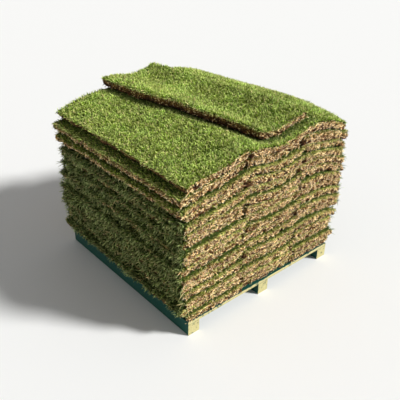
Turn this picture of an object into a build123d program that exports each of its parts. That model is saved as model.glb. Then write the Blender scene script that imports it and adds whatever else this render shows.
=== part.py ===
"""A pallet loaded with cut turf slabs: three runners, a boarded deck, sixteen courses and one loose slab.

The frame has +Z up and its origin on the ground under the middle runner. The slabs lie along Y, three
side by side along X. The stack has settled into a low dome: its courses are flat on the deck and more
and more arched towards the top, and every slab lies on the shape of the course below it.
"""

import os
from math import sin

from build123d import *

# Pallet, in millimetres.
pallet_width = 1189
pallet_length = 1215
pallet_centre_y = -20
runner_width = 80
runner_height = 75
board_thickness = 19
board_width = 140
board_count = 7
eased_edge = 2

# Turf. A slab's thickness is its soil, thatch and the grass pressed down by the slab above.
course_count = 16
column_count = 3
slab_length = 1220
slab_centre_y = -12
column_gap = 5
grass_shoulder = 12
end_wander = 11
joint_wander = 11

# Where the column joints stand, and the outer faces of the stack before any slab overhangs.
left_face = -612
left_joint = -182
right_joint = 246
right_face = 632

# The settled top course, across the middle of its length: straight runs between these places (x, z), with
# ridges over the joints, and the radius where two runs meet. Towards the back it drifts to the left and falls.
deck_top = runner_height + board_thickness
settled_line = (
    (-720, 920),
    (-600, 979),
    (-430, 978),
    (-190, 1036),
    (60, 993),
    (345, 1052),
    (455, 1020),
    (740, 865),
)
bend_radius = 260
drift_angle = 1.1
fall_angle = 0.8

# How far each course stands out past the stack's faces, from the deck up.
left_overhang = (-14, 20, 4, 4, 16, 26, 27, 0, 17, 4, -2, 4, -4, 30, 24, -10)
right_overhang = (-26, -10, -22, -27, 9, 35, 15, 27, 26, -4, 38, 21, -18, 23, 6, -20)

# The loose slab on top, by the corners of its plan. It lies askew over the middle column.
top_slab_thickness = 48
top_slab_plan = ((-50, -558), (322, -558), (188, 692), (-260, 628))
top_slab_corner = 30

# Blocks and solids that are cut to shape reach this far, well past the stack.
well_past = 1400


def below(level, lift=0):
    """Everything under the shape that a level has settled into: flat on the deck, fully domed at the top."""
    share = level / course_count
    runs = [(x, share * (z - deck_top)) for x, z in settled_line]
    crest = FilletPolyline(*runs, radius=bend_radius / share)
    sides = Polyline(crest @ 0, (runs[0][0], -well_past), (runs[-1][0], -well_past), crest @ 1)
    section = Plane.XZ * make_face([crest, sides])
    solid = extrude(section, well_past / 2, both=True)
    return Pos(0, slab_centre_y, deck_top + lift) * Rot(-share * fall_angle, 0, drift_angle) * solid


def wander(course, column_index, step, reach):
    """A repeatable small offset, so that no two slabs lie quite alike."""
    return reach * sin(2.3 * course + 1.7 * column_index + step)


def joint_x(course, joint):
    """Where a course's left (0) or right (1) joint stands. The top course keeps the nominal joints."""
    nominal = (left_joint, right_joint)[joint]
    if course == course_count:
        return nominal
    return nominal + wander(course, joint, 0.9, joint_wander)


def slab_sides(course, column):
    """The x of a slab's two long sides. The columns are 0, 1 and 2 from the left."""
    half_gap = column_gap / 2
    west_x = left_face - left_overhang[course - 1] if column == 0 else joint_x(course, column - 1) + half_gap
    east_x = right_face + right_overhang[course - 1] if column == 2 else joint_x(course, column) - half_gap
    return west_x, east_x


def upper_long_edge(slab, side_x):
    """The upper of the two edges that run the length of a slab at one of its sides."""
    at_side = slab.edges().filter_by_position(Axis.X, side_x - 1, side_x + 1)
    return at_side.sort_by(SortBy.LENGTH)[-2:].sort_by(Axis.Z)[-1]


def upper_rim(slab):
    """The edges around the top of a slab, without those between the faces of the top itself."""
    top_faces = [face for face in slab.faces() if face.normal_at().Z > 0.7]
    edges = [edge for face in top_faces for edge in face.edges()]
    places = [edge.center() for edge in edges]
    return [edge for edge in edges if sum((edge.center() - place).length < 1 for place in places) == 1]


def turf_slab(course, column):
    """One slab between two settled levels, its ends cut square and its long grass edges worn."""
    west_x, east_x = slab_sides(course, column)
    near_y = slab_centre_y - slab_length / 2 - wander(course, column, 0.4, end_wander)
    far_y = slab_centre_y + slab_length / 2 + wander(course, column, 2.6, end_wander)
    block = Box(east_x - west_x, far_y - near_y, well_past)
    block = Pos((west_x + east_x) / 2, (near_y + far_y) / 2, deck_top + well_past / 2) * block
    slab = block & below(course)
    if course > 1:
        slab -= below(course - 1)
    return chamfer([upper_long_edge(slab, west_x), upper_long_edge(slab, east_x)], grass_shoulder)


def top_slab():
    """The loose slab. It lies on the top course and has the same shape, one thickness higher."""
    plan = make_face(Polyline(*top_slab_plan, close=True))
    plan = fillet(plan.vertices(), top_slab_corner)
    block = Pos(0, 0, deck_top) * extrude(plan, well_past, dir=(0, 0, 1))
    slab = block & below(course_count, top_slab_thickness)
    slab -= below(course_count)
    return chamfer(upper_rim(slab), grass_shoulder)


def runner(x):
    """A solid timber runner with its long edges eased, standing on the ground."""
    timber = Box(runner_width, pallet_length, runner_height)
    timber = chamfer(timber.edges().filter_by(Axis.Y), eased_edge)
    return Pos(x, pallet_centre_y, runner_height / 2) * timber


def deck_board(y):
    """A board across the three runners, its long edges eased."""
    board = Box(pallet_width, board_width, board_thickness)
    board = chamfer(board.edges().filter_by(Axis.X), eased_edge)
    return Pos(0, y, runner_height + board_thickness / 2) * board


parts = {}

runner_x = (pallet_width - runner_width) / 2
for name, x in (("left", -runner_x), ("middle", 0), ("right", runner_x)):
    parts[f"stringer_{name}"] = runner(x)

board_pitch = (pallet_length - board_width) / (board_count - 1)
first_board_y = pallet_centre_y - (pallet_length - board_width) / 2
for index in range(board_count):
    parts[f"deck_board_{index + 1}"] = deck_board(first_board_y + index * board_pitch)

for course in range(1, course_count + 1):
    slabs = [turf_slab(course, column) for column in range(column_count)]
    parts[f"turf_layer_{course:02d}"] = Compound(children=slabs)

parts["top_slab"] = top_slab()

os.makedirs("parts", exist_ok=True)
for name, shape in parts.items():
    shape.label = name
    export_step(shape, f"parts/{name}.step")
    print(name, "solids", len(shape.solids()), "volume", round(sum(s.volume for s in shape.solids())))
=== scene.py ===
# %% [markdown]
# # A pallet of cut turf
# Turf is grass cut from the field with a thin layer of soil and roots. This load is sixteen courses of
# three slabs on a painted timber pallet, with one loose slab on top. The imported CAD model gives the place
# of each course; this lesson dresses it with soil, thatch and grass. First the imported model is loaded and
# its parts are freed from their parents.

# %% Load the imported model
import math
from functools import partial

import bmesh
import bpy
import numpy as np
from mathutils import Matrix, Vector


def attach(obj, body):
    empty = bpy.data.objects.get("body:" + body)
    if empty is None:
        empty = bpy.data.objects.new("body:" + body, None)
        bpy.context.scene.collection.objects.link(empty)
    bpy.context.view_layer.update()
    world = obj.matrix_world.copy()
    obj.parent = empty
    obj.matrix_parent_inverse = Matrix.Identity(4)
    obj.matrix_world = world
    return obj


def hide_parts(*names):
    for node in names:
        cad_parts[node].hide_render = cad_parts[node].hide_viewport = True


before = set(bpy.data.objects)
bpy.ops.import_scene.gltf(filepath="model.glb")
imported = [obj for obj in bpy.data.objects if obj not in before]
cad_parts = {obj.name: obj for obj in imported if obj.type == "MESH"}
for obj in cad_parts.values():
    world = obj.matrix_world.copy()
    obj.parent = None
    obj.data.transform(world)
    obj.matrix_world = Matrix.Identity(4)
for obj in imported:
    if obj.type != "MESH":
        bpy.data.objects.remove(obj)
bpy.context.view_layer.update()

# %% [markdown]
# ## The camera
# The photograph was taken a few steps from the near left corner, from a little above a person's height. A
# camera is a place, a direction, a roll and a lens. Building its rotation from the direction it looks in
# keeps those numbers readable.

# %% Camera
scene = bpy.context.scene
CAMERA_PLACE = Vector((-2.156, -2.488, 2.363))
LOOKS_ALONG = Vector((0.5640, 0.6425, -0.5188)).normalized()
ROLL = math.radians(0.864)
LENS_MM = 53.14

level_right = LOOKS_ALONG.cross(Vector((0, 0, 1))).normalized()
level_up = level_right.cross(LOOKS_ALONG)
right = level_right * math.cos(ROLL) + level_up * math.sin(ROLL)
up = level_up * math.cos(ROLL) - level_right * math.sin(ROLL)
camera_data = bpy.data.cameras.new("camera")
camera_data.sensor_width = 36
camera_data.lens = LENS_MM
camera = bpy.data.objects.new("camera", camera_data)
turn = Matrix((right, up, -LOOKS_ALONG)).transposed()
camera.matrix_world = Matrix.Translation(CAMERA_PLACE) @ turn.to_4x4()
scene.collection.objects.link(camera)
scene.camera = camera
print("camera stands", round(CAMERA_PLACE.length, 2), "m from the origin")

# %% [markdown]
# ## Helpers
# Colours are written as sRGB hex values, as a paint chart gives them, and shaders want linear light, so one
# function converts them. One more function adds any node with its settings and links.

# %% Colours and nodes
def linear(hex_colour):
    """An sRGB hex colour as linear red, green, blue and alpha."""
    channels = [int(hex_colour[i : i + 2], 16) / 255 for i in (1, 3, 5)]
    return [c / 12.92 if c <= 0.04045 else ((c + 0.055) / 1.055) ** 2.4 for c in channels] + [1.0]


def add_node(material, kind, values=None, links=None):
    """Adds a node; values set its properties, colour stops and sockets, and links join sockets to outputs."""
    node = material.node_tree.nodes.new("ShaderNode" + kind)
    for key, value in (values or {}).items():
        if key == "stops":
            elements = node.color_ramp.elements
            while len(elements) < len(value):
                elements.new(0.5)
            for element, (place, colour) in zip(elements, value):
                element.position = place
                element.color = linear(colour)
        elif isinstance(key, str) and hasattr(node, key):
            setattr(node, key, value)
        else:
            node.inputs[key].default_value = value
    for key, output in (links or {}).items():
        material.node_tree.links.new(output, node.inputs[key])
    return node


def new_material(name, **shader_values):
    """A material with its shader's uniform values set, and the two nodes that everything joins to."""
    material = bpy.data.materials.new(name)
    material.use_nodes = True
    shader = material.node_tree.nodes["Principled BSDF"]
    for key, value in shader_values.items():
        shader.inputs[key.replace("_", " ")].default_value = value
    return material, shader


def join_to(material, output, shader, socket):
    """Links an output to a socket of the material's shader."""
    material.node_tree.links.new(output, shader.inputs[socket])


# %% [markdown]
# Selecting by place replaces a mouse click: the faces or edges whose middle passes a test are selected for
# the next operator. Random values that change smoothly from place to place make soft soil uneven. They come
# from a seeded grid, so every run gives the same load.

# %% Selecting by place, and smooth random values
# The random pattern repeats after so many cells, and starts so many cells before the origin.
PATCH_GRID, PATCH_SHIFT = 97, 400
def select_by_place(piece, kind, test):
    """In edit mode, selects only the faces or edges whose middle and element pass the test."""
    mesh = bmesh.from_edit_mesh(piece.data)
    bpy.ops.mesh.select_all(action="DESELECT")
    bpy.ops.mesh.select_mode(type="FACE" if kind == "faces" else "EDGE")
    for element in getattr(mesh, kind):
        middle = sum((v.co for v in element.verts), Vector()) / len(element.verts)
        element.select_set(bool(test(middle, element)))
    bmesh.update_edit_mesh(piece.data)


def only_active(piece):
    """Selects one piece and nothing else, for the next operator."""
    bpy.ops.object.select_all(action="DESELECT")
    piece.select_set(True)
    bpy.context.view_layer.objects.active = piece


def points_of(piece):
    """The vertices of a piece as an array, one row each."""
    flat = np.empty(len(piece.data.vertices) * 3)
    piece.data.vertices.foreach_get("co", flat)
    return flat.reshape(-1, 3)


def patchy(x, y, size, seed):
    """Smooth random values from -1 to 1 that change over about size metres, the same on every run."""
    grid = np.random.default_rng(seed).uniform(-1, 1, (PATCH_GRID, PATCH_GRID))
    u, v = np.asarray(x) / size + PATCH_SHIFT, np.asarray(y) / size + PATCH_SHIFT
    i, j = np.floor(u).astype(int), np.floor(v).astype(int)
    u, v = u - i, v - j
    u, v = u * u * (3 - 2 * u), v * v * (3 - 2 * v)
    i_next, j_next = (i + 1) % PATCH_GRID, (j + 1) % PATCH_GRID
    i, j = i % PATCH_GRID, j % PATCH_GRID
    first = grid[i, j] * (1 - u) + grid[i_next, j] * u
    second = grid[i, j_next] * (1 - u) + grid[i_next, j_next] * u
    return first * (1 - v) + second * v


# %% [markdown]
# ## The studio
# A wide pale floor takes the shadow of the load. One soft sun lamp shines from the front right, so the cut
# ends and the top are lit and the left side lies in shade.

# %% Floor and lamp
FLOOR_SIZE = 60
FLOOR_DROP = 0.001
LAMP_STRENGTH = 3.7
LAMP_SPREAD = math.radians(10)
LAMP_SHINES_FROM = Vector((0.9, -1.15, 1.2))

bpy.ops.object.select_all(action="DESELECT")
bpy.ops.mesh.primitive_plane_add(size=FLOOR_SIZE, location=(0, 0, -FLOOR_DROP))
floor = bpy.context.object
floor.name = "studio_floor"
floor_material, floor_shader = new_material("matt_white_paint", Roughness=0.9)
floor_shader.inputs["Base Color"].default_value = linear("#f6f6f4")
floor.data.materials.append(floor_material)

lamp_data = bpy.data.lights.new("key_lamp", "SUN")
lamp_data.energy = LAMP_STRENGTH
lamp_data.angle = LAMP_SPREAD
lamp = bpy.data.objects.new("key_lamp", lamp_data)
lamp.rotation_euler = LAMP_SHINES_FROM.to_track_quat("Z", "Y").to_euler()
scene.collection.objects.link(lamp)
scene.view_settings.view_transform = "Standard"
print("lamp shines from", tuple(LAMP_SHINES_FROM))

# %% [markdown]
# An even white surround fills the shadows. Where it is seen directly, or in a gloss, it is brighter, so the
# backdrop is white while the shade on the left side stays deep.

# %% Surround
SURROUND_STRENGTH = 0.26
BACKDROP_STRENGTH = 1.0

world = bpy.data.worlds.new("studio_surround")
world.use_nodes = True
scene.world = world
nodes, links = world.node_tree.nodes, world.node_tree.links


def white_light(background, strength):
    """Sets a background node to white light of a strength."""
    background.inputs["Color"].default_value = linear("#ffffff")
    background.inputs["Strength"].default_value = strength
    return background.outputs["Background"]


def either(first, second):
    """An output that is 1 where one of two outputs is 1."""
    node = nodes.new("ShaderNodeMath")
    node.operation = "ADD"
    node.use_clamp = True
    links.new(first, node.inputs[0])
    links.new(second, node.inputs[1])
    return node.outputs[0]


rays = nodes.new("ShaderNodeLightPath").outputs
seen = either(either(rays["Is Camera Ray"], rays["Is Glossy Ray"]), rays["Is Transmission Ray"])
mix = nodes.new("ShaderNodeMixShader")
links.new(seen, mix.inputs["Fac"])
links.new(white_light(nodes["Background"], SURROUND_STRENGTH), mix.inputs[1])
links.new(white_light(nodes.new("ShaderNodeBackground"), BACKDROP_STRENGTH), mix.inputs[2])
links.new(mix.outputs["Shader"], nodes["World Output"].inputs["Surface"])
print("surround lights at", SURROUND_STRENGTH, "and is seen at", BACKDROP_STRENGTH)

# %% [markdown]
# ## Painted timber
# The runners and boards are sawn softwood under a thin coat of green-blue pallet paint. The paint sinks
# into the grain, so the grain still shows, and it is scuffed pale where forks and floors rub it. The end
# grain of a runner drinks no paint and stays bare. Grain runs along the timber: a noise that is stretched
# 37 times along one axis draws it, with streaks 3 mm wide and 110 mm long. Scuffs start at 30 mm and break
# up much finer.

# %% Painted timber
# Noise cells in a metre.
GRAIN_ALONG, GRAIN_ACROSS, SCUFF_CELLS = 9, 330, 34.0


def painted_timber(name, long_axis):
    """Thin teal paint over sawn softwood: streaked, slightly glossy, worn to pale wood at edges and ends."""
    material, shader = new_material(name, Roughness=0.6)
    shader.inputs["Specular IOR Level"].default_value = 0.3
    place = add_node(material, "TexCoord").outputs["Object"]
    stretch = [GRAIN_ACROSS] * 3
    stretch["XYZ".index(long_axis)] = GRAIN_ALONG
    grain_place = add_node(material, "Mapping", {"Scale": stretch}, {"Vector": place}).outputs["Vector"]
    grain = add_node(
        material, "TexNoise", {"Scale": 1.0, "Detail": 5.0, "Roughness": 0.6}, {"Vector": grain_place}
    ).outputs["Fac"]
    paint_colours = [(0.25, "#07382e"), (0.5, "#0a463b"), (0.78, "#125a4d")]
    wood_colours = [(0.25, "#a99a62"), (0.55, "#cfc68d"), (0.8, "#dcd7a8")]
    paint = add_node(material, "ValToRGB", {"stops": paint_colours}, {"Fac": grain})
    wood = add_node(material, "ValToRGB", {"stops": wood_colours}, {"Fac": grain})
    scuffs = add_node(
        material, "TexNoise", {"Scale": SCUFF_CELLS, "Detail": 6.0, "Roughness": 0.68}, {"Vector": place}
    )
    normal = add_node(material, "NewGeometry").outputs["Normal"]
    facing = add_node(material, "SeparateXYZ", {}, {"Vector": normal})
    toward_end = add_node(material, "Math", {"operation": "ABSOLUTE"}, {0: facing.outputs["Y"]})
    edge_wear = add_node(
        material, "Math", {"operation": "MULTIPLY_ADD", 1: 0.3},
        {0: toward_end.outputs[0], 2: scuffs.outputs["Fac"]},
    )
    worn = add_node(
        material, "MapRange", {"From Min": 0.66, "From Max": 0.74}, {"Value": edge_wear.outputs[0]}
    )
    colour = add_node(
        material, "MixRGB", {},
        {"Fac": worn.outputs[0], "Color1": paint.outputs["Color"], "Color2": wood.outputs["Color"]},
    )
    join_to(material, colour.outputs["Color"], shader, "Base Color")
    bump = add_node(material, "Bump", {"Strength": 0.35, "Distance": 0.0012}, {"Height": grain})
    join_to(material, bump.outputs["Normal"], shader, "Normal")
    return material


runner_timber = painted_timber("painted_sawn_softwood_runner", "Y")
board_timber = painted_timber("painted_sawn_softwood_board", "X")
timbers = {name: node for name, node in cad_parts.items() if name.startswith(("stringer", "deck_board"))}
for timber_name, timber in timbers.items():
    timber.data.materials.clear()
    timber.data.materials.append(runner_timber if timber_name.startswith("stringer") else board_timber)
print("painted", len(timbers), "timbers")

# %% [markdown]
# ## How the load has settled
# Fresh turf is soft. The courses sag between the joints and their outer edges slump, a little more in every
# course up. One smooth surface describes the top, from heights at a few lines and stations, and each course
# below has a share of it. A natural cubic spline is smooth and passes through every height it is given.

# %% The settled surface
COURSES = 16
DECK_TOP = 0.094

# The height of the top at eight lines across the load, in four rows along it, near row first.
LINES = np.array((-672, -500, -340, -182, 32, 246, 450, 692)) / 1000
STATIONS = np.array((-640, -350, 80, 700)) / 1000
SETTLED = np.array((
    (944, 978, 998, 1033, 999, 1031, 1023, 905),
    (944, 979, 999, 1033, 1000, 1036, 1042, 932),
    (942, 978, 998, 1028, 998, 1032, 1028, 906),
    (922, 973, 999, 1010, 988, 1018, 988, 856),
)) / 1000

# Places where the photographed load sits lower or higher than that surface: x, y, level, reach along x and
# y, and rise. Each fades over little more than one course up and down.
LOCAL_HEAVES = (
    (0.43, -0.62, 14, 0.11, 0.20, -0.028),
    (0.27, 0.62, 16, 0.09, 0.24, 0.017),
    (0.62, -0.30, 16, 0.13, 0.38, 0.009),
    (-0.40, 0.62, 16, 0.20, 0.20, 0.012),
)
HEAVE_REACH_UP = 1.2


def spline_weights(knots, at):
    """How much each knot's height counts at each place, on a natural cubic spline through the knots."""
    count, gaps = len(knots), np.diff(knots)
    system, right_side = np.eye(count), np.zeros((count, count))
    for i in range(1, count - 1):
        before, after = gaps[i - 1], gaps[i]
        system[i, i - 1 : i + 2] = before, 2 * (before + after), after
        right_side[i, i - 1 : i + 2] = 6 / before, -6 / before - 6 / after, 6 / after
    bends = np.linalg.solve(system, right_side)
    at = np.clip(at, knots[0], knots[-1])
    cell = np.clip(np.searchsorted(knots, at) - 1, 0, count - 2)
    gap, past = gaps[cell], at - knots[cell]
    to_go, identity = gap - past, np.eye(count)
    weights = identity[cell] * (to_go / gap)[:, None] + identity[cell + 1] * (past / gap)[:, None]
    weights += ((to_go**3 / gap - gap * to_go) / 6)[:, None] * bends[cell]
    return weights + ((past**3 / gap - gap * past) / 6)[:, None] * bends[cell + 1]


def settled(x, y, level):
    """The height of a level of the stack: 0 is the deck, 16 the top course's own top."""
    x, y = np.broadcast_arrays(np.asarray(x, float), np.asarray(y, float))
    weights_y, weights_x = spline_weights(STATIONS, y.ravel()), spline_weights(LINES, x.ravel())
    top = np.einsum("pi,ij,pj->p", weights_y, SETTLED, weights_x).reshape(x.shape)
    height = DECK_TOP + level / COURSES * (top - DECK_TOP)
    for at_x, at_y, at_level, reach_x, reach_y, rise in LOCAL_HEAVES:
        up = (level - at_level) / HEAVE_REACH_UP
        apart = ((x - at_x) / reach_x) ** 2 + ((y - at_y) / reach_y) ** 2 + up**2
        height = height + rise * np.exp(-apart)
    return height


print("height of the top along its near end:", settled(LINES, STATIONS[0], COURSES).round(3))

# %% [markdown]
# Every slab has its own outline. It stands out past the faces of the stack or stays behind them, and its
# joints and ends wander by a centimetre, by a sine of its course and column that gives the same load on
# every run.

# %% The outline of each slab
SLAB_CENTRE_Y, SLAB_LENGTH, COLUMN_GAP = -0.012, 1.220, 0.005
LEFT_FACE, LEFT_JOINT, RIGHT_JOINT, RIGHT_FACE = -0.612, -0.182, 0.246, 0.632
WANDER_REACH = 0.011

# How far each course stands out past the faces, from the deck up.
LEFT_OVERHANG = np.array((-14, 20, 4, 4, 16, 26, 27, 0, 17, 4, -2, 4, -4, 30, 33, -10)) / 1000
RIGHT_OVERHANG = np.array((-26, -10, -22, -27, 9, 35, 15, 27, 26, -4, 38, 21, -18, 23, 16, -20)) / 1000


def wander(course, column, step):
    """A small offset in metres, so that no two slabs lie quite alike."""
    return WANDER_REACH * math.sin(2.3 * course + 1.7 * column + step)


def slab_outline(course, column):
    """West, east, near and far limits of a slab; columns are 0, 1 and 2 from the left."""
    nominal = (LEFT_JOINT, RIGHT_JOINT)
    joints = [j if course == COURSES else j + wander(course, i, 0.9) for i, j in enumerate(nominal)]
    west = LEFT_FACE - LEFT_OVERHANG[course - 1] if column == 0 else joints[column - 1] + COLUMN_GAP / 2
    east = RIGHT_FACE + RIGHT_OVERHANG[course - 1] if column == 2 else joints[column] - COLUMN_GAP / 2
    near = SLAB_CENTRE_Y - SLAB_LENGTH / 2 - wander(course, column, 0.4)
    far = SLAB_CENTRE_Y + SLAB_LENGTH / 2 + wander(course, column, 2.6)
    return west, east, near, far


print("the top course is", round(slab_outline(COURSES, 2)[1] - slab_outline(COURSES, 0)[0], 3), "m wide")

# %% [markdown]
# ## A blank slab
# Each slab starts as a cube. Its walls are cut into small faces by subdividing the edges that run one way
# at a time, fine where the wall can be seen and coarse in the joints. The covers are rings drawn in from
# the rim and one fan of faces in the middle, which another slab hides. Only the slabs that are seen from
# above have a fine cover. One blank is made for each kind, and every slab is a copy with its own mesh.

# %% Blank slabs
FINE, COARSE, CUTS_ACROSS, CUTS_UP = 96, 8, 56, 6
COVER_ACROSS, COVER_ALONG = 40, 84

# How much of the ring before it each ring of a coarse cover keeps, across and along.
COVER_RINGS = ((0.93, 0.976), (0.84, 0.945), (0.72, 0.90))


def slab_blank(name, cuts_across, cuts_west, cuts_east, fine_cover):
    """A cube of side 2 with its walls cut across, along each long side and up; a fine cover is cut alike."""
    bpy.ops.object.select_all(action="DESELECT")
    bpy.ops.mesh.primitive_cube_add(size=2)
    blank = bpy.context.object
    blank.name = name
    bpy.ops.object.mode_set(mode="EDIT")
    if fine_cover:
        select_by_place(blank, "edges", lambda m, e: abs(m.x) < 0.1)
        bpy.ops.mesh.subdivide(number_cuts=cuts_across)
        select_by_place(blank, "edges", lambda m, e: abs(e.verts[0].co.y - e.verts[1].co.y) > 1)
        bpy.ops.mesh.subdivide(number_cuts=cuts_west)
    else:
        select_by_place(blank, "faces", lambda m, f: abs(m.z) > 0.9)
        bpy.ops.mesh.delete(type="ONLY_FACE")
        select_by_place(blank, "edges", lambda m, e: abs(m.x) < 0.1)
        bpy.ops.mesh.subdivide(number_cuts=cuts_across)
        for side, cuts in ((-1, cuts_west), (1, cuts_east)):
            select_by_place(blank, "edges", lambda m, e: abs(m.y) < 0.1 and abs(m.x - side) < 0.1)
            bpy.ops.mesh.subdivide(number_cuts=cuts)
    select_by_place(blank, "edges", lambda m, e: abs(e.verts[0].co.z - e.verts[1].co.z) > 1)
    bpy.ops.mesh.subdivide(number_cuts=CUTS_UP)
    for level in () if fine_cover else (-1, 1):
        select_by_place(blank, "edges", lambda m, e: abs(m.z - level) < 0.01)
        for across, along in COVER_RINGS:
            bpy.ops.mesh.extrude_edges_move()
            bpy.ops.transform.resize(value=(across, along, 1))
        bpy.ops.mesh.edge_face_add()
        bpy.ops.mesh.poke()
    bpy.ops.mesh.select_all(action="SELECT")
    bpy.ops.mesh.normals_make_consistent(inside=False)
    bpy.ops.object.mode_set(mode="OBJECT")
    print(name, "has", len(blank.data.polygons), "faces")
    return blank


blanks = [
    slab_blank("blank_left", CUTS_ACROSS, FINE, COARSE, False),
    slab_blank("blank_middle", CUTS_ACROSS, COARSE, COARSE, False),
    slab_blank("blank_right", CUTS_ACROSS, COARSE, FINE, False),
]
blank_with_cover = slab_blank("blank_seen_from_above", COVER_ACROSS, COVER_ALONG, COVER_ALONG, True)

# %% [markdown]
# ## Soil, roots and thatch
# A cut edge shows three things: dark soil at the bottom, a tan felt of roots and dead stems, and a pale
# line of stolons under the green. The slab keeps the height of each point as an attribute, so the colours
# follow the layers however the slab bends. Crumbs of soil are 2 to 8 mm and roots about 1 mm thick, too
# fine to show at this distance, so the noise that draws the fibre has cells 8 mm wide and 6 mm high. Clumps
# are 22 mm.

# %% Soil and thatch material
# Noise cells in a metre.
FIBRE_CELLS, CLUMP_CELLS = (120, 120, 170), 45.0

# Heights in a slab from its soil up to its green, with the colours of the loam and of the fibre there.
LAYERS = (0.0, 0.35, 0.62, 0.86, 1.0)
SOIL_COLOURS = ("#20130b", "#301c10", "#402812", "#403414", "#323e14")
FIBRE_COLOURS = ("#5c3a20", "#7c552e", "#b08a50", "#b8a45c", "#8a9040")
FELT_COLOURS = [(0.35, "#22350f"), (0.55, "#3f5a1c"), (0.75, "#7d7a35")]


def fibrous_soil():
    """Crumbly loam bound by roots: matt, mottled, with straw-coloured fibre and dark holes."""
    material, shader = new_material("fibrous_root_mat_and_loam", Roughness=0.92)
    shader.inputs["Specular IOR Level"].default_value = 0.2
    place = add_node(material, "TexCoord").outputs["Object"]
    height = add_node(material, "Attribute", {"attribute_name": "height_in_slab"}).outputs["Fac"]
    cover = add_node(material, "Attribute", {"attribute_name": "under_grass"}).outputs["Fac"]
    fibre_at = add_node(material, "Mapping", {"Scale": FIBRE_CELLS}, {"Vector": place}).outputs["Vector"]
    streaks = add_node(
        material, "TexNoise", {"Scale": 1.0, "Detail": 3.0, "Roughness": 0.62}, {"Vector": fibre_at}
    ).outputs["Fac"]
    clumps = add_node(
        material, "TexNoise", {"Scale": CLUMP_CELLS, "Detail": 3.0, "Roughness": 0.6}, {"Vector": place}
    ).outputs["Fac"]
    shift = add_node(material, "Math", {"operation": "MULTIPLY_ADD", 1: 0.55, 2: -0.275}, {0: clumps})
    layer = add_node(material, "Math", {"operation": "ADD"}, {0: height, 1: shift.outputs[0]}).outputs[0]
    dark = add_node(material, "ValToRGB", {"stops": list(zip(LAYERS, SOIL_COLOURS))}, {"Fac": layer})
    light = add_node(material, "ValToRGB", {"stops": list(zip(LAYERS, FIBRE_COLOURS))}, {"Fac": layer})
    fibre = add_node(material, "MapRange", {"From Min": 0.50, "From Max": 0.62}, {"Value": streaks})
    edge = add_node(
        material, "MixRGB", {},
        {"Fac": fibre.outputs[0], "Color1": dark.outputs["Color"], "Color2": light.outputs["Color"]},
    )
    felt = add_node(material, "ValToRGB", {"stops": FELT_COLOURS}, {"Fac": clumps})
    colour = add_node(
        material, "MixRGB", {},
        {"Fac": cover, "Color1": edge.outputs["Color"], "Color2": felt.outputs["Color"]},
    )
    join_to(material, colour.outputs["Color"], shader, "Base Color")
    bump = add_node(material, "Bump", {"Strength": 0.9, "Distance": 0.004}, {"Height": streaks})
    join_to(material, bump.outputs["Normal"], shader, "Normal")
    return material


soil_material = fibrous_soil()
print("made", soil_material.name)

# %% [markdown]
# ## Pressed grass
# Between two courses lies a layer of pressed grass, up to 12 mm thick. At the cut ends it shows as a green
# line, strong on some courses and faint on others, and it comes and goes along a slab.

# %% Pressed grass between the courses
# In metres: what a full line adds to its height, the least height of it, and its height on top of the load.
PRESSED_GRASS, LEAST_GRASS, TOP_GRASS = 0.0115, 0.001, 0.007
LINE_SWING = 0.28

# How green the line on top of each course's left, middle and right slab is at the cut ends.
GREEN_LINES = {
    16: (0.0, 0.0, 0.0), 15: (-1.2, -0.5, -1.0), 14: (0.9, 0.9, 1.0), 13: (0.8, 0.2, 0.7),
    12: (0.8, 0.9, 0.4), 11: (0.0, 0.1, 0.1), 10: (0.1, 0.7, 0.1), 9: (0.8, 0.5, 0.2),
    8: (0.2, 0.1, 0.5), 7: (0.1, 0.8, 0.1), 6: (0.1, 0.5, 0.1), 5: (0.8, 0.2, 0.6),
    4: (0.8, 0.8, 0.1), 3: (0.1, 0.6, 0.4), 2: (0.8, 0.2, 0.1), 1: (0.1, 0.1, 0.1),
}


def line_share(x, y, course):
    """How green the line on a course is at a place, from 0, none, to 1; it comes and goes along the slab."""
    x, y = np.broadcast_arrays(np.asarray(x, float), np.asarray(y, float))
    column = (x > LEFT_JOINT).astype(int) + (x > RIGHT_JOINT)
    share = np.array(GREEN_LINES[course])[column]
    at, row = x + 3 * (y > 0), np.full_like(x, course * 1.7)
    swings = LINE_SWING * patchy(at, row, 0.09, 41) + LINE_SWING * patchy(at, row, 0.028, 42)
    return np.clip(0.40 + 0.42 * share + swings, 0, 1)


def grass_room(x, y, course):
    """The height that a slab's own grass takes under the slab above."""
    if course == COURSES:
        return TOP_GRASS
    return LEAST_GRASS + PRESSED_GRASS * line_share(x, y, course)


print("the greenest line is on course", max(GREEN_LINES, key=lambda course: sum(GREEN_LINES[course])))

# %% [markdown]
# ## A cut wall
# No cut wall is flat. Slow waves run along it where the cutter wandered, with smaller lumps and clods on
# them. The felt of roots stands out a little, and the soil at the bottom draws in. An outer long wall ends
# in a nose: below its rim the soil has crumbled away. The loose slab counts as one more course, and its
# left side is wavy.

# %% Relief of a cut wall
LOOSE = COURSES + 1

# The depth and size of the waves, lumps and clods, in metres.
WAVES, LUMPS, CLODS = (0.005, 0.11), (0.0055, 0.030), (0.0030, 0.012)

# How far a wall stands out, in metres, at shares of its height.
HEIGHT_PROFILE = ([0, 0.17, 0.4, 0.7, 0.9, 1.0], [-0.013, 0.0, 0.001, 0.003, 0.001, -0.004])

# How deep the nose is on most courses, on the top course and on the loose slab.
NOSE, TOP_NOSE, LOOSE_NOSE = 0.016, 0.018, 0.003

# The height of a wall in the random patterns, and how far apart two courses lie in them.
WALL_HEIGHT, COURSE_STEP = 0.05, 0.7


def pattern_row(height, course):
    """Where a share of a wall's height lies in the random patterns."""
    return height * WALL_HEIGHT + course * COURSE_STEP


def wall_waves(along, course, side):
    """How far a wall stands out in slow waves, the same at every height."""
    depth, size = WAVES
    return depth * patchy(along, np.full_like(along, course * 3.1), size, course * 8 + side)


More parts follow.
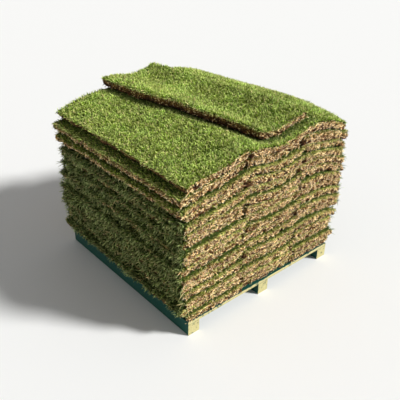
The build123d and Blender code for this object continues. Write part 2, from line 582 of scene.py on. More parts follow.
def wall_relief(along, row, height, course, side, strength):
    """How far a wall stands out, in metres, at places along it."""
    seed = course * 8 + side
    relief = wall_waves(along, course, side)
    relief += LUMPS[0] * patchy(along, row, LUMPS[1], seed + 900)
    relief += CLODS[0] * patchy(along, row, CLODS[1], seed + 1800)
    return strength * (relief + np.interp(height, *HEIGHT_PROFILE))


def under_rim(y, height, course):
    """How far an outer long wall is drawn in below its rim, so that a slab ends in a nose."""
    reach = 0.006 * patchy(y, np.full_like(y, course * 2.3), 0.07, 55)
    reach = reach + {COURSES: TOP_NOSE, LOOSE: LOOSE_NOSE}.get(course, NOSE)
    return reach * np.interp(height, (0, 0.3, 0.75, 1.0), (1.0, 0.35, 0.0, 0.1))


def loose_wave(y):
    """How far the left side of the loose slab strays from straight, in waves of 170 mm and 60 mm."""
    row = np.zeros_like(y)
    return 0.012 * patchy(y, row, 0.17, 77) + 0.006 * patchy(y, row, 0.06, 78)


print("waves, lumps and clods reach", round(WAVES[0] + LUMPS[0] + CLODS[0], 4), "m in or out")

# %% [markdown]
# Here and there a clump has fallen out of a cut end, most of all beside a joint. Each hole has a place
# along the end, a height as a share of the slab's, a reach and a depth. They are drawn once, so that the
# walls and the straw on them agree.

# %% Torn holes
rng = np.random.default_rng(12)
HOLES_ALONG, HOLE_REACH, HOLE_DEPTH = (-0.6, 0.62), (0.007, 0.015), (0.012, 0.026)
JOINT_REACH, JOINT_DEPTH = (0.008, 0.017), 0.024
DEEPEST_HOLE = 0.026

# A hole's height is measured in this many metres for a slab, so it comes out nearly round.
HOLE_RISE = 0.06

# Four larger pits at the near joints: x, and how many courses up.
LARGE_PITS = ((0.266, 13.3), (-0.184, 12.5), (0.224, 6.8), (0.217, 2.6))
LARGE_PIT_REACH = 0.018


def hole_depth(along, height, holes):
    """How deep small holes, where a clump has fallen out of a cut end, go at places on it."""
    depth = np.zeros_like(along)
    for middle, level, reach, deepest in holes:
        distance = np.hypot(along - middle, (height - level) * HOLE_RISE)
        depth += deepest * np.exp(-((distance / reach) ** 2))
    return np.minimum(depth, DEEPEST_HOLE)


def random_holes(course):
    """Holes in one end of a course: a few anywhere, and one beside each joint."""
    holes = [
        (rng.uniform(*HOLES_ALONG), rng.uniform(0.1, 0.9), rng.uniform(*HOLE_REACH), rng.uniform(*HOLE_DEPTH))
        for _ in range(int(rng.integers(2, 7)))
    ]
    for joint in (0, 1) if course <= COURSES else ():
        east = slab_outline(course, joint)[1]
        holes.append((east, rng.uniform(0.2, 0.9), rng.uniform(*JOINT_REACH), JOINT_DEPTH))
    return holes


torn = {(course, end): random_holes(course) for course in range(1, LOOSE + 1) for end in ("near", "far")}
for x, level in LARGE_PITS:
    torn[int(level) + 1, "near"].append((x, level % 1, LARGE_PIT_REACH, DEEPEST_HOLE))
print("tore", sum(len(holes) for holes in torn.values()), "holes")

# %% [markdown]
# ## Laying the slabs
# A copy of a blank is stretched onto the place of its slab, between two settled levels, and its walls are
# pushed in and out by the relief and the holes. A Displace modifier adds the finest crumbs and is applied.

# %% Lay one slab
# The crumbs' size and depth, and how far in from a wall its relief fades, in metres.
CRUMB_SIZE, CRUMB_DEPTH, RELIEF_FADES = 0.011, 0.007, 0.04
JOINT_RELIEF = 0.25

crumbs = bpy.data.textures.new("crumbs", "CLOUDS")
crumbs.noise_scale = CRUMB_SIZE
crumbs.noise_depth = 2


def on_plan(corners, a, b):
    """Places at shares a across and b along a plan of four corners, near left first, anticlockwise."""
    (x0, y0), (x1, y1), (x2, y2), (x3, y3) = corners
    x = (x0 * (1 - a) + x1 * a) * (1 - b) + (x3 * (1 - a) + x2 * a) * b
    y = (y0 * (1 - a) + y1 * a) * (1 - b) + (y3 * (1 - a) + y2 * a) * b
    return x, y


def crumble(slab):
    """Moves every point of a slab a little, along its normal."""
    only_active(slab)
    displace = slab.modifiers.new("crumbs", "DISPLACE")
    displace.texture = crumbs
    displace.texture_coords = "LOCAL"
    displace.strength = CRUMB_DEPTH
    displace.mid_level = 0.5
    bpy.ops.object.modifier_apply(modifier=displace.name)


def stretch_onto(blank, name, corners, bottom, top, course, outer_sides):
    """A copy of a blank laid between two surfaces, on the plan that its corners give."""
    slab = blank.copy()
    slab.data = blank.data.copy()
    slab.name = name
    scene.collection.objects.link(slab)
    a, b, c = (points_of(slab).T + 1) / 2
    x, y = on_plan(corners, a, b)
    width, length = corners[1][0] - corners[0][0], corners[3][1] - corners[0][1]
    row = pattern_row(c, course)
    inside = (b * length, (1 - b) * length, a * width, (1 - a) * width)
    near, far, west, east = (np.clip(1 - distance / RELIEF_FADES, 0, 1) for distance in inside)
    y_out = near * (wall_relief(x, row, c, course, 0, 1) - hole_depth(x, c, torn[course, "near"]))
    y_back = far * (wall_relief(x, row, c, course, 1, 1) - hole_depth(x, c, torn[course, "far"]))
    x_left = west * wall_relief(y, row, c, course, 2, 1.0 if "west" in outer_sides else JOINT_RELIEF)
    x_right = east * wall_relief(y, row, c, course, 3, 1.0 if "east" in outer_sides else JOINT_RELIEF)
    x_left = x_left - west * under_rim(y, c, course) * ("west" in outer_sides)
    x_right = x_right - east * under_rim(y, c, course) * ("east" in outer_sides)
    if course == LOOSE:
        x_left = x_left + west * loose_wave(y)
    x, y = x - x_left + x_right, y - y_out + y_back
    z = bottom(x, y) * (1 - c) + top(x, y) * c
    slab.data.vertices.foreach_set("co", np.column_stack((x, y, z)).ravel())
    at_rim = np.maximum.reduce((near, far, west, east))
    cover = np.where(c > 0.99, np.clip(1.6 - 1.6 * at_rim, 0, 1), 0)
    for attribute, values in (("height_in_slab", c), ("under_grass", cover)):
        slab.data.attributes.new(attribute, "FLOAT", "POINT").data.foreach_set("value", values)
    crumble(slab)
    slab.data.materials.clear()
    slab.data.materials.append(soil_material)
    return slab


print("crumbs are", CRUMB_SIZE, "m across")

# %% [markdown]
# A rim that stands out past the slab below has nothing under it, so it droops, by about half as much as it
# stands out. The three slabs of a course are joined into one piece, which takes the place of the CAD course.

# %% Lay every course
RIM_DROOP = 0.55
SMOOTH_BELOW = math.radians(50)
OUTER_SIDES = (("west",), (), ("east",))


def join_slabs(slabs, name):
    """One piece made of several slabs, smooth but for its sharper edges."""
    bpy.ops.object.select_all(action="DESELECT")
    for slab in slabs:
        slab.select_set(True)
    bpy.context.view_layer.objects.active = slabs[0]
    if len(slabs) > 1:
        bpy.ops.object.join()
    slabs[0].name = name
    bpy.ops.object.shade_smooth_by_angle(angle=SMOOTH_BELOW)
    return slabs[0]


def past_support(x, y, course):
    """How far a place lies outside the edges of the course below, where a rim has nothing under it."""
    below = max(course - 2, 0)
    left = np.clip((LEFT_FACE - LEFT_OVERHANG[below]) - x, 0, None)
    return left + np.clip(x - (RIGHT_FACE + RIGHT_OVERHANG[below]), 0, None)


def slab_bottom(x, y, course):
    """The underside of a course."""
    return settled(x, y, course - 1) - RIM_DROOP * past_support(x, y, course)


def slab_top(x, y, course):
    """The top of the soil of a course, under its grass."""
    return settled(x, y, course) - RIM_DROOP * past_support(x, y, course) - grass_room(x, y, course)


for course in range(1, COURSES + 1):
    bottom, top = partial(slab_bottom, course=course), partial(slab_top, course=course)
    slabs = []
    for column in range(3):
        west, east, near, far = slab_outline(course, column)
        corners = ((west, near), (east, near), (east, far), (west, far))
        blank = blank_with_cover if course == COURSES else blanks[column]
        name = f"slab_{course}_{column}"
        slabs.append(stretch_onto(blank, name, corners, bottom, top, course, OUTER_SIDES[column]))
    piece = join_slabs(slabs, f"turf_slabs_{course:02d}")
    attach(piece, "root")
    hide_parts(f"turf_layer_{course:02d}")
print("laid", COURSES, "courses")

# %% [markdown]
# ## The loose slab
# It lies askew on the top course and rests on its grass. Its left side wandered under the cutter, so its
# plan is wavy, and it bends to the shape below it. It is thicker towards its left side.

# %% Lay the loose slab
# Its thickness with its grass, the grass alone, and how much more soil there is at its left side.
LOOSE_THICKNESS, LOOSE_GRASS, THICKER_LEFT = 0.055, 0.010, 0.012
THICKER_UP_TO = 0.4

# Its corners, near left first, anticlockwise.
LOOSE_PLAN = ((-0.050, -0.558), (0.322, -0.558), (0.188, 0.692), (-0.260, 0.628))


def loose_place(x, y):
    """Where a place lies across and along the loose slab, 0 to 1, and how far outside its plan, in metres."""
    (x0, y0), (x1, y1), (x2, y2), (x3, y3) = LOOSE_PLAN
    along = (y - y0) / (0.5 * (y2 + y3) - y0)
    left, right_edge = x0 + (x3 - x0) * along, x1 + (x2 - x1) * along
    across = (x - left) / (right_edge - left)
    far_line = y3 + (y2 - y3) * across
    outside = np.maximum.reduce((left - x - loose_wave(y), x - right_edge, y0 - y, y - far_line))
    return across, (y - y0) / (far_line - y0), outside


def loose_bottom(x, y):
    """The underside of the loose slab, on the grass of the top course."""
    return settled(x, y, COURSES)


def loose_top(x, y):
    """The top of the soil of the loose slab, under its grass."""
    thicker = THICKER_LEFT * np.clip(1 - loose_place(x, y)[0] / THICKER_UP_TO, 0, 1)
    return settled(x, y, COURSES) + LOOSE_THICKNESS - LOOSE_GRASS + thicker


loose = stretch_onto(blank_with_cover, "loose", LOOSE_PLAN, loose_bottom, loose_top, LOOSE, ("west", "east"))
loose = join_slabs([loose], "loose_slab")
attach(loose, "root")
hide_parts("top_slab")
for blank in (*blanks, blank_with_cover):
    bpy.data.objects.remove(blank)
print("laid the loose slab with", len(loose.data.polygons), "faces")

# %% [markdown]
# ## Grass
# A blade is a narrow strip that tapers to a point. It is modelled once from a plane, and every copy is
# turned, leant, curled and stretched on its own by arrays, all in one mesh, because tens of thousands of
# objects would be slow. Real blades are 2 to 3 mm wide; these are about 5 mm, so that each still shows.
# There are two kinds: a long one that can hang in a curve, and a short one with fewer faces for the lawn.
# Each blade keeps two attributes: how far up it a point is, and a random tint.

# %% One blade
# The folds of a long blade and of a short one, as shares of its length, and how much narrower each fold is.
LOW_FOLD, HIGH_FOLD, SHORT_FOLD = 0.4, 0.75, 0.6
LOW_NARROWING, HIGH_NARROWING = 0.95, 0.68

bpy.ops.object.select_all(action="DESELECT")
bpy.ops.mesh.primitive_plane_add(size=1, location=(0, 0.5, 0))
blade = bpy.context.object
blade.name = "blade"
bpy.ops.object.transform_apply(location=True)
bpy.ops.object.mode_set(mode="EDIT")
select_by_place(blade, "edges", lambda m, e: m.y > 0.9)
bpy.ops.transform.translate(value=(0, LOW_FOLD - 1, 0))
bpy.ops.transform.resize(value=(LOW_NARROWING, 1, 1))
bpy.ops.mesh.extrude_edges_move(TRANSFORM_OT_translate={"value": (0, HIGH_FOLD - LOW_FOLD, 0)})
bpy.ops.transform.resize(value=(HIGH_NARROWING, 1, 1))
bpy.ops.mesh.extrude_edges_move(TRANSFORM_OT_translate={"value": (0, 1 - HIGH_FOLD, 0)})
bpy.ops.mesh.merge(type="CENTER")
bpy.ops.object.mode_set(mode="OBJECT")
long_blade = points_of(blade), [list(face.vertices) for face in blade.data.polygons]
bpy.ops.object.mode_set(mode="EDIT")
select_by_place(blade, "edges", lambda m, e: abs(m.y - LOW_FOLD) < 0.01 and abs(m.x) < 0.01)
bpy.ops.mesh.dissolve_edges()
select_by_place(blade, "edges", lambda m, e: abs(m.y - HIGH_FOLD) < 0.01 and abs(m.x) < 0.01)
bpy.ops.transform.translate(value=(0, SHORT_FOLD - HIGH_FOLD, 0))
bpy.ops.object.mode_set(mode="OBJECT")
short_blade = points_of(blade), [list(face.vertices) for face in blade.data.polygons]
bpy.data.objects.remove(blade)
print("a long blade has", len(long_blade[1]), "faces and a short one", len(short_blade[1]))

# %% [markdown]
# A blade has a root, a way it starts and a way it curls, and its strip is bent along an arc from the one to
# the other. All the blades of a piece are worked out at once, as arrays, and become one mesh.

# %% Many blades in one mesh
# The least curl of a blade, because a straight one has no arc.
LEAST_CURL = 0.02


def unit(vectors):
    """The same directions with a length of 1."""
    return vectors / np.linalg.norm(vectors, axis=1)[:, None]

def leaning(heading, lean):
    """The way a blade starts, at an angle from upright, and the way it curls: over, on the same side."""
    heading, lean = np.broadcast_arrays(heading, lean)
    over = np.column_stack((np.cos(heading), np.sin(heading), np.zeros(len(heading))))
    upright = np.array((0.0, 0.0, 1.0))[None]
    sine, cosine = np.sin(lean)[:, None], np.cos(lean)[:, None]
    return cosine * upright + sine * over, cosine * over - sine * upright


def twisted(start, curls_to, angle):
    """Turns the way that blades curl, and their flat side with it, around the way they start."""
    return curls_to * np.cos(angle)[:, None] + np.cross(start, curls_to) * np.sin(angle)[:, None]


def grow(name, roots, start, curls_to, curl, length, width, tint, material, strip=short_blade):
    """One piece made of a blade on each root. It starts one way and curls another, by an angle in radians."""
    count = len(roots)
    blade_points, blade_faces = strip
    curl, length, width, tint = (
        np.broadcast_to(np.asarray(v, float), (count,))[:, None] for v in (curl, length, width, tint)
    )
    curl = np.where(np.abs(curl) < LEAST_CURL, LEAST_CURL, curl)
    across, along = blade_points[:, 0][None], blade_points[:, 1][None]
    onward = (length * np.sin(curl * along) / curl)[:, :, None]
    over = (length * (1 - np.cos(curl * along)) / curl)[:, :, None]
    sideways = (across * width)[:, :, None]
    points = roots[:, None] + onward * start[:, None] + over * curls_to[:, None]
    points = (points + sideways * np.cross(start, curls_to)[:, None]).reshape(-1, 3)
    sizes = np.tile([len(f) for f in blade_faces], count)
    corner = np.concatenate([np.array(f) for f in blade_faces])
    corners = (corner[None] + (np.arange(count) * len(blade_points))[:, None]).ravel()
    mesh = bpy.data.meshes.new(name)
    mesh.vertices.add(len(points))
    mesh.vertices.foreach_set("co", points.ravel())
    mesh.loops.add(len(corners))
    mesh.loops.foreach_set("vertex_index", corners)
    mesh.polygons.add(len(sizes))
    mesh.polygons.foreach_set("loop_start", np.concatenate(([0], np.cumsum(sizes)[:-1])))
    mesh.polygons.foreach_set("loop_total", sizes)
    mesh.update(calc_edges=True)
    attributes = (
        ("up_the_blade", np.tile(blade_points[:, 1], count)),
        ("tint", np.repeat(tint, len(blade_points))),
    )
    for attribute, values in attributes:
        mesh.attributes.new(attribute, "FLOAT", "POINT").data.foreach_set("value", values)
    mesh.materials.append(material)
    piece = bpy.data.objects.new(name, mesh)
    scene.collection.objects.link(piece)
    only_active(piece)
    bpy.ops.object.shade_smooth()
    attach(piece, "root")
    print(name, "has", count, "blades and", len(sizes), "faces")
    return piece


# %% [markdown]
# Living blades are pale at the tip, where they are young, and lighter still there as painted light, where
# they catch the light; they are dark at the root, painted shade deep in the grass. Some are dry, from one in
# twenty-five to one in six by where they grow. Patches of a hand's width are greener or yellower, as feeding
# and wear are never even. The leaf surface is waxy, so it shines a little.

# %% Grass material
# Blades are dry whose tint is below this, less a margin.
DRY_BELOW, DRY_MARGIN = 0.1, 0.003

# Noise cells in a metre.
PATCH_CELLS = 9.0


def leaf_material(name, root, middle, tip, dry):
    """Waxy grass leaf, IOR about 1.4: soft highlights, a root darkened as painted shade, a tip paler as young
    leaf and as painted light.
    """
    material, shader = new_material(name, Roughness=0.58, IOR=1.4)
    shader.inputs["Specular IOR Level"].default_value = 0.3
    up = add_node(material, "Attribute", {"attribute_name": "up_the_blade"}).outputs["Fac"]
    tint = add_node(material, "Attribute", {"attribute_name": "tint"}).outputs["Fac"]
    place = add_node(material, "TexCoord").outputs["Object"]
    # Dark at the root is painted shade deep in the grass; light at the tip is partly painted light.
    green = add_node(material, "ValToRGB", {"stops": [(0.0, root), (0.45, middle), (1.0, tip)]}, {"Fac": up})
    patches = add_node(
        material, "TexNoise", {"Scale": PATCH_CELLS, "Detail": 3.0, "Roughness": 0.65}, {"Vector": place}
    ).outputs["Fac"]
    patch_hue = add_node(
        material, "MapRange", {"From Min": 0.3, "From Max": 0.7, "To Min": 0.485, "To Max": 0.51},
        {"Value": patches},
    )
    patch_light = add_node(
        material, "MapRange", {"From Min": 0.3, "From Max": 0.7, "To Min": 0.82, "To Max": 1.15},
        {"Value": patches},
    )
    light = add_node(material, "Math", {"operation": "MULTIPLY_ADD", 1: 1.35, 2: 0.36}, {0: tint})
    value = add_node(
        material, "Math", {"operation": "MULTIPLY"}, {0: light.outputs[0], 1: patch_light.outputs[0]}
    )
    varied = add_node(
        material, "HueSaturation", {"Saturation": 1.0},
        {"Hue": patch_hue.outputs[0], "Value": value.outputs[0], "Color": green.outputs["Color"]},
    )
    is_dry = add_node(material, "Math", {"operation": "LESS_THAN", 1: DRY_BELOW - DRY_MARGIN}, {0: tint})
    colour = add_node(
        material, "MixRGB", {"Color2": linear(dry)},
        {"Fac": is_dry.outputs[0], "Color1": varied.outputs["Color"]},
    )
    join_to(material, colour.outputs["Color"], shader, "Base Color")
    return material


lawn = leaf_material("waxy_grass_leaf", "#203204", "#86a62c", "#eaf09a", "#f4e49c")
# A darker copy of the lawn's leaf, for the fringes in shade: painted shade.
lawn_in_painted_shade = leaf_material("waxy_grass_leaf_painted_shade", "#0e1c04", "#405e14", "#dae496", "#e0d090")
# Paler than the lawn, as pressed grass and stolons are, and lighter still as painted light against the shade
# of the gaps between courses.
end_lawn_painted_light = leaf_material("waxy_grass_leaf_pressed_painted_light", "#5a6620", "#a2aa48", "#ecea9a", "#ecd892")
straw = leaf_material("dry_grass_straw", "#c8964e", "#f8dea4", "#fff4d2", "#84502a")
print("made", ", ".join(material.name for material in (lawn, lawn_in_painted_shade, end_lawn_painted_light, straw)))

# %% [markdown]
# ## The lawn on top
# The blades stand on the top course and on the loose slab, one every 4.3 mm. They lean every way, and small
# tufts differ in length and tint. Deep under the loose slab none are needed, and close beside it they are
# short and painted darker, as the loose slab's shadow on them. Each column is its own piece.

# %% Grass on the top course and the loose slab
BLADE_SPACING, BLADE_WIDTH, BLADE_LENGTH = 0.0043, 0.0053, 0.021

# How far the lawn goes past a slab's east side, past its other sides, in under the loose slab and out over
# the loose slab's own rim, and how far from the loose slab it is still short and painted dark as its shadow.
PAST_EAST, PAST_RIM, UNDER_LOOSE, OVER_LOOSE, SHORT_NEAR_LOOSE = 0.002, 0.004, 0.012, 0.003, 0.05

# West, east, near and far limits of a box around the loose slab.
LOOSE_BOX = (-0.29, 0.34, -0.57, 0.70)

# The dip on the right, painted darker as shade, and the lighter crown: x, y, and reach along x and y.
SHADED_DIP, LIGHTER_CROWN = (0.24, -0.28, 0.11, 0.24), (-0.02, 0.05, 0.10, 0.40)


def jittered(west, east, near, far, spacing):
    """Roots on a grid with each moved at random by up to half a step."""
    xs, ys = np.meshgrid(np.arange(west, east, spacing), np.arange(near, far, spacing))
    roots = np.column_stack((xs.ravel(), ys.ravel()))
    return roots + rng.uniform(-0.5, 0.5, roots.shape) * spacing


def around(x, y, at_x, at_y, reach_x, reach_y):
    """1 at a spot and less and less away from it."""
    return np.exp(-(((x - at_x) / reach_x) ** 2) - ((y - at_y) / reach_y) ** 2)


def crown_and_painted_dip_shade(x, y):
    """How much lighter the lawn is at a place: the dip on the right is painted darker, as shade, and the
    crown is lighter.
    """
    return 0.10 * around(x, y, *LIGHTER_CROWN) - 0.24 * around(x, y, *SHADED_DIP)


def lawn_on(name, places, ground, shortened=1.0, shade=0.0):
    """Short blades that lean every way, so that the lawn is a fine speckle of tips and gaps."""
    count = len(places)
    x, y = places.T
    heading = rng.uniform(-np.pi, np.pi, count)
    lean = np.abs(rng.normal(0.8, 0.45, count))
    start, curls_to = leaning(heading, lean)
    curls_to = twisted(start, curls_to, rng.normal(0, 0.8, count))
    curl = rng.uniform(0.1, 1.2, count)
    tuft = patchy(x, y, 0.008, 5)
    length = BLADE_LENGTH * (1 + 0.25 * tuft) * rng.uniform(0.7, 1.3, count) * shortened
    width = BLADE_WIDTH * rng.uniform(0.7, 1.2, count)
    tint = 0.50 + 0.62 * patchy(x, y, 0.0065, 8) + 0.14 * patchy(x, y, 0.13, 9)
    # The dip on the right is painted darker, as shade; the crown is lighter.
    tint = tint + crown_and_painted_dip_shade(x, y) + rng.normal(0, 0.3, count)
    dry = rng.uniform(0, 1, count) < 0.05
    green = DRY_BELOW + (1 - DRY_BELOW) * np.clip(tint - shade, 0, 1)
    tint = np.where(dry, rng.uniform(0, 0.09, count), green)
    roots = np.column_stack((x, y, ground(x, y) - 0.001))
    return grow(name, roots, start, curls_to, curl, length, width, tint, lawn)


for column, side in enumerate(("left", "middle", "right")):
    west, east, near, far = slab_outline(COURSES, column)
    places = jittered(west - PAST_RIM, east + PAST_EAST, near - PAST_RIM, far + PAST_RIM, BLADE_SPACING)
    outside = loose_place(*places.T)[2]
    seen = outside > -UNDER_LOOSE
    # Beside the loose slab the blades are shorter and their tint is lowered: a painted shadow.
    beside = np.clip(1.3 - outside[seen] / SHORT_NEAR_LOOSE, 0, 1)
    lawn_on(f"lawn_{side}", places[seen], partial(slab_top, course=COURSES), 1 - 0.68 * beside, 0.6 * beside)

places = jittered(*LOOSE_BOX, BLADE_SPACING)
on_the_slab = loose_place(*places.T)[2] < OVER_LOOSE
lawn_on("lawn_loose_slab", places[on_the_slab], loose_top)

# %% [markdown]
# ## Grass along the sides
# On the long sides each slab's grass leans out of the stack and hangs over the edge below it, one root for
# each 1.1 mm of a rim. High up it mostly stands. Lower down it hangs, in the shade of the courses above,
# and there its leaf is a darker copy of the lawn's: painted shade.

# %% Fringes on the long sides
ROOT_STEP = 0.0011
FRINGE_WIDTH = 0.0046

# The depth of the rim that bears a fringe and the depth that has one root for each step, in metres.
RIM_DEPTH, DEPTH_PER_ROOT = 0.020, 0.022

# Above this course the grass is in the light, and standing blades are cropped. Up to it the grass takes the
# darker leaf, painted shade.
LAST_SHADED = 13
CROPPED = 0.55

# How much the grass of each course hangs, from 0, standing, to 1.
HANG = {
    16: 0.18, 15: 0.2, 14: 0.25, 13: 0.7, 12: 0.9, 11: 0.7, 10: 1.0, 9: 0.65,
    8: 0.95, 7: 0.75, 6: 1.0, 5: 0.7, 4: 0.9, 3: 0.65, 2: 0.45, 1: 0.3,
}

# Each side's overhangs, its number as a wall, its column, its heading and the x that no blade reaches past.
SIDES = {
    "left": (LEFT_OVERHANG, 2, 0, np.pi, -0.686),
    "right": (RIGHT_OVERHANG, 3, 2, 0.0, 0.714),
}


def tints(count, dry_share):
    """Random tints; those below DRY_BELOW are of dry blades."""
    dry = rng.uniform(0, 1, count) < dry_share
    dry_tint = rng.uniform(0, DRY_BELOW, count)
    return np.where(dry, dry_tint, DRY_BELOW + (1 - DRY_BELOW) * rng.beta(0.6, 0.6, count))


def edge_roots(side, course):
    """Roots along one outer edge of a course, and how much each blade hangs, from 0 to 1."""
    overhang, wall, column = SIDES[side][:3]
    west, east, near, far = slab_outline(course, column)
    ledge = 0.0 if course == COURSES else max(0.0, overhang[course - 1] - overhang[course])
    reach = RIM_DEPTH + ledge
    count = int((far - near) / ROOT_STEP * reach / DEPTH_PER_ROOT)
    y = rng.uniform(near, far, count)
    inset = rng.uniform(0, 1, count) ** 1.3 * reach
    on_the_wall = rng.uniform(0, 1, count) < 0.3 * HANG[course]
    level = np.where(on_the_wall, rng.uniform(0.25, 1, count), 1.0)
    inset = np.where(level < 1, 0.0, inset)
    relief = wall_waves(y, course, wall) - under_rim(y, level, course)
    x = west + inset - relief if side == "left" else east - inset + relief
    z = slab_top(x, y, course) * level + settled(x, y, course - 1) * (1 - level)
    roots = np.column_stack((x, y, z + rng.uniform(-0.004, 0.002, count)))
    how_far = HANG[course] + 0.5 * patchy(y, np.full_like(y, course * 3.1), 0.045, 61)
    return roots, np.clip(how_far, 0, 1) * np.clip(1.2 - inset / 0.03, 0, 1)


def fringe(side, courses, name):
    """Blades along the outer edge of several courses on one long side; they stand, or hang over the edge."""
    rows = [edge_roots(side, course) for course in courses]
    roots, hang = (np.concatenate(parts) for parts in zip(*rows))
    hang, count = np.clip(hang, 0, 1), len(roots)
    out, limit = SIDES[side][3:]
    in_the_light = max(courses) > LAST_SHADED
    heading = out + rng.normal(0, 0.6, count)
    lean = rng.normal(0.55, 0.3, count) * (1 - hang) + rng.normal(1.45, 0.35, count) * hang
    start, curls_to = leaning(heading, lean)
    curls_to = twisted(start, curls_to, rng.normal(0, 0.5, count))
    curl = rng.uniform(0.2, 1.0, count) * (1 - hang) + rng.uniform(0.6, 1.8, count) * hang
    standing = rng.uniform(0.020, 0.034, count) * (1 - hang) * (CROPPED if in_the_light else 1.0)
    length = standing + rng.uniform(0.024, 0.058, count) * hang
    length = np.minimum(length, np.abs(limit - roots[:, 0]))
    tint = tints(count, 0.16 if in_the_light else 0.04)
    keeps_its_tint = (tint < DRY_BELOW) | (rng.uniform(0, 1, count) < 0.27)
    tint = np.where(keeps_its_tint, np.minimum(tint * 1.3, 1.2), DRY_BELOW + 0.3 * tint)
    # The fringes in shade take the darker leaf: painted shade.
    material = lawn if in_the_light else lawn_in_painted_shade
    grow(name, roots, start, curls_to, curl, length, FRINGE_WIDTH, tint, material, long_blade)


for side in ("left", "right"):
    for low, high in ((1, 5), (6, 9), (10, 13), (14, 16)):
        fringe(side, range(low, high + 1), f"fringe_{side}_{low:02d}")

# %% [markdown]
# ## Green lines at the cut ends
# At the cut ends the pressed grass sticks out between the courses as short blades, more of them where the
# line is greener. About one in seven is a stolon lower down in the slab. Their leaf is paler than the lawn's,
# partly as pressed grass and stolons are pale, and partly as painted light against the shade of the gaps.

# %% Green lines at the cut ends
LINE_WIDTH = 0.0042

# How far outside and inside the cut end the roots stand, and how far down the stolons are, in metres.
ROOTS_OUTSIDE, ROOTS_INSIDE, STOLONS_DOWN = 0.005, 0.007, 0.03


def line_roots(end, course, column):
    """Roots of the blades at one end of a slab, and how green its line is at each."""
    west, east, near, far = slab_outline(course, column)
    edge, inward = (near, 1) if end == "near" else (far, -1)
    count = int((east - west) / ROOT_STEP)
    x = rng.uniform(west, east, count)
    y = edge + inward * rng.uniform(-ROOTS_OUTSIDE, ROOTS_INSIDE, count)
    share = line_share(x, y, course)
    keep = rng.uniform(0, 1, count) < 0.06 + share
    x, y, share = x[keep], y[keep], share[keep]
    rise = rng.uniform(0, 1, len(x)) * (LEAST_GRASS + PRESSED_GRASS * share)
    stolon = rng.uniform(0, 1, len(x)) < 0.15
    z = slab_top(x, y, course) + np.where(stolon, -rng.uniform(0, STOLONS_DOWN, len(x)), rise)
    return np.column_stack((x, y, z)), share


def end_lines(end, courses, name):
    """Short blades that stick out between the courses at one end."""
    rows = [line_roots(end, course, column) for course in courses for column in range(3)]
    roots, strength = (np.concatenate(parts) for parts in zip(*rows))
    count = len(roots)
    heading = (-np.pi / 2 if end == "near" else np.pi / 2) + rng.normal(0, 0.7, count)
    start, curls_to = leaning(heading, rng.normal(1.3, 0.35, count))
    curls_to = twisted(start, curls_to, rng.normal(0, 0.8, count))
    length = rng.uniform(0.010, 0.020, count) * (0.7 + 0.5 * strength)
    curl = rng.uniform(0.1, 1.2, count)
    # The paler leaf is partly painted light, against the shade of the gaps.
    grow(name, roots, start, curls_to, curl, length, LINE_WIDTH, tints(count, 0.12), end_lawn_painted_light)


for end in ("near", "far"):
    end_lines(end, range(1, 9), f"green_lines_{end}_low")
    end_lines(end, range(9, 16), f"green_lines_{end}_high")

# %% [markdown]
# ## Roots and straw
# Cut roots and dead stems lie on every cut face, mostly flat against it and more level than upright, 9 to
# 26 mm long. They are the same strip as a short blade, and dry. They make the faces fibrous from any angle,
# and they leave the torn holes dark.

# %% Straw on the cut faces
# Each face's way out, the way along it, its number as a wall and the columns that show it.
FACES = {
    "near": ((0, -1, 0), (1, 0, 0), 0, (0, 1, 2)), "far": ((0, 1, 0), (1, 0, 0), 1, (0, 1, 2)),
    "left": ((-1, 0, 0), (0, 1, 0), 2, (0,)), "right": ((1, 0, 0), (0, 1, 0), 3, (2,)),
}

# Strands on a square metre of the cut ends, of the long sides and of the long sides high up, and the height
# of a slab that they are counted for.
END_STRANDS, SIDE_STRANDS, HIGH_SIDE_STRANDS = 19500, 2500, 10000
COUNTED_HEIGHT = 0.054

# Strands stand in tufts of this size, where a random pattern is above a limit, and outside holes this deep.
TUFT, TUFT_LIMIT, HOLE_LIMIT = 0.0070, -0.30, 0.006


def strand_piece(name, roots, sideways, outward, levels):
    """Dry strands on the given roots, lying mostly flat on a wall that runs sideways and faces outward."""
    count = len(roots)
    angle = rng.normal(0, 0.75, count) + np.pi * rng.integers(0, 2, count)
    flat = np.cos(angle)[:, None] * sideways + np.sin(angle)[:, None] * np.array((0.0, 0.0, 1.0))
    start = unit(unit(flat) + rng.uniform(0.0, 0.5, count)[:, None] * outward)
    inward = np.broadcast_to(-outward, start.shape)
    curls_to = unit(inward - (inward * start).sum(axis=1)[:, None] * start)
    curls_to = twisted(start, curls_to, rng.normal(0, 0.5, count))
    length = rng.uniform(0.009, 0.026, count)
    curl = rng.uniform(0.1, 1.0, count)
    width = rng.uniform(0.0026, 0.0045, count)
    tint = np.clip(0.85 * rng.beta(0.55, 0.55, count) + 0.3 * (levels - 0.35), 0, 1)
    grow(name, roots, start, curls_to, curl, length, width, tint, straw)


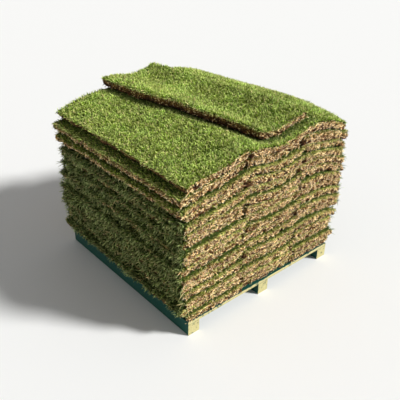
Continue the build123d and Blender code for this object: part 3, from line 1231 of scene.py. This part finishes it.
def strand_roots(face, course, column, per_square_metre):
    """Roots of strands on one face of a slab, and how high each is as a share of the slab's height."""
    outward, _, wall, _ = FACES[face]
    is_end = face in ("near", "far")
    limits = dict(zip(("left", "right", "near", "far"), slab_outline(course, column)))
    low, high = (limits[side] for side in (("left", "right") if is_end else ("near", "far")))
    count = int((high - low) * COUNTED_HEIGHT * per_square_metre)
    lowest = -0.3 if course == 1 else 0.09
    along, level = rng.uniform(low, high, count), rng.uniform(lowest, 0.97, count)
    keep = patchy(along * 0.6, pattern_row(level, course), TUFT, wall + 70) > TUFT_LIMIT
    if is_end:
        keep &= hole_depth(along, level, torn[course, face]) < HOLE_LIMIT
    along, level = along[keep], level[keep]
    stands_out = wall_relief(along, pattern_row(level, course), level, course, wall, 1)
    if not is_end:
        stands_out -= under_rim(along, level, course)
    stands_out += rng.uniform(-0.001, 0.004, len(along))
    edge = limits[face] + stands_out * sum(outward)
    x, y = (along, edge) if is_end else (edge, along)
    z = slab_top(x, y, course) * level + settled(x, y, course - 1) * (1 - level)
    return np.column_stack((x, y, z)), level


def strands(face, courses, name, per_square_metre):
    """Dry strands that lie on one face of the stack."""
    outward, sideways, _, columns = FACES[face]
    rows = [strand_roots(face, course, column, per_square_metre) for course in courses for column in columns]
    roots, levels = (np.concatenate(parts) for parts in zip(*rows))
    strand_piece(name, roots, np.array(sideways, float), np.array(outward, float), levels)


# %% [markdown]
# The loose slab has grass and strands of its own. The sides of its plan aren't square to each other, so
# each one is walked along, from corner to corner, with its own way out.

# %% Grass and straw around the loose slab
# For the near, right, far and left side: blades on its rim, strands on a square metre and its number as a
# wall.
LOOSE_SIDES = ((130, 19000, 0), (1100, 6000, 3), (330, 14000, 1), (800, 5000, 2))
LOOSE_TUFT = 0.0095


def loose_side(number):
    """One side of the loose slab's plan: its start, its run, its length and the way out from it."""
    start, end = (np.array(LOOSE_PLAN[(number + i) % 4]) for i in (0, 1))
    run = end - start
    length = np.linalg.norm(run)
    return start, run, length, np.array((run[1], -run[0])) / length


def loose_rim(number, count):
    """Random places on the upper rim of one side of the loose slab, and the heading out from it."""
    start, run, _, out = loose_side(number)
    x, y = start[:, None] + run[:, None] * rng.uniform(0, 1, count)
    inset = rng.uniform(0, 0.012, count) - (loose_wave(y) if number == 3 else 0)
    x, y = x - out[0] * inset, y - out[1] * inset
    return np.column_stack((x, y, loose_top(x, y) - 0.002)), np.full(count, math.atan2(out[1], out[0]))


def loose_fringe():
    """Blades that lean out over the rim of the loose slab."""
    rows = [loose_rim(number, side[0]) for number, side in enumerate(LOOSE_SIDES)]
    roots, heading = (np.concatenate(parts) for parts in zip(*rows))
    count = len(roots)
    start, curls_to = leaning(heading + rng.normal(0, 0.6, count), rng.normal(1.1, 0.35, count))
    curls_to = twisted(start, curls_to, rng.normal(0, 0.5, count))
    curl, length = rng.uniform(0.4, 1.5, count), rng.uniform(0.012, 0.026, count)
    tint = tints(count, 0.1)
    name = "fringe_loose_slab"
    grow(name, roots, start, curls_to, curl, length, FRINGE_WIDTH, tint, lawn, long_blade)


def loose_strand_roots(number, per_square_metre, wall):
    """Roots of strands on one side of the loose slab, the ways along and out for each, and how high it is."""
    start, run, length, out = loose_side(number)
    is_long = number in (1, 3)
    count = int(length * WALL_HEIGHT * per_square_metre)
    share, level = rng.uniform(0, 1, count), rng.uniform(0, 0.97, count)
    keep = patchy(share * length, level * WALL_HEIGHT, LOOSE_TUFT, 80 + number) > TUFT_LIMIT
    share, level = share[keep], level[keep]
    x, y = start[:, None] + run[:, None] * share
    relief = wall_relief(y if is_long else x, pattern_row(level, LOOSE), level, LOOSE, wall, 1)
    if is_long:
        relief = relief - under_rim(y, level, LOOSE)
    if number == 3:
        relief = relief + loose_wave(y)
    relief = relief + rng.uniform(-0.001, 0.003, len(share))
    x, y = x + out[0] * relief, y + out[1] * relief
    z = loose_bottom(x, y) * (1 - level) + loose_top(x, y) * level
    sideways, outward = (np.tile((*way, 0.0), (len(share), 1)) for way in (run / length, out))
    return np.column_stack((x, y, z)), sideways, outward, level


def loose_strands():
    """Dry strands around the four sides of the loose slab, dense on its cut ends."""
    rows = [loose_strand_roots(number, *side[1:]) for number, side in enumerate(LOOSE_SIDES)]
    strand_piece("straw_loose_slab", *(np.concatenate(parts) for parts in zip(*rows)))


loose_fringe()
for face in ("near", "far"):
    strands(face, range(1, 9), f"straw_{face}_low", END_STRANDS)
    strands(face, range(9, 17), f"straw_{face}_high", END_STRANDS)
for face in ("left", "right"):
    strands(face, range(1, 14), f"straw_{face}_low", SIDE_STRANDS)
    strands(face, range(14, 16), f"straw_{face}_high", HIGH_SIDE_STRANDS)
loose_strands()
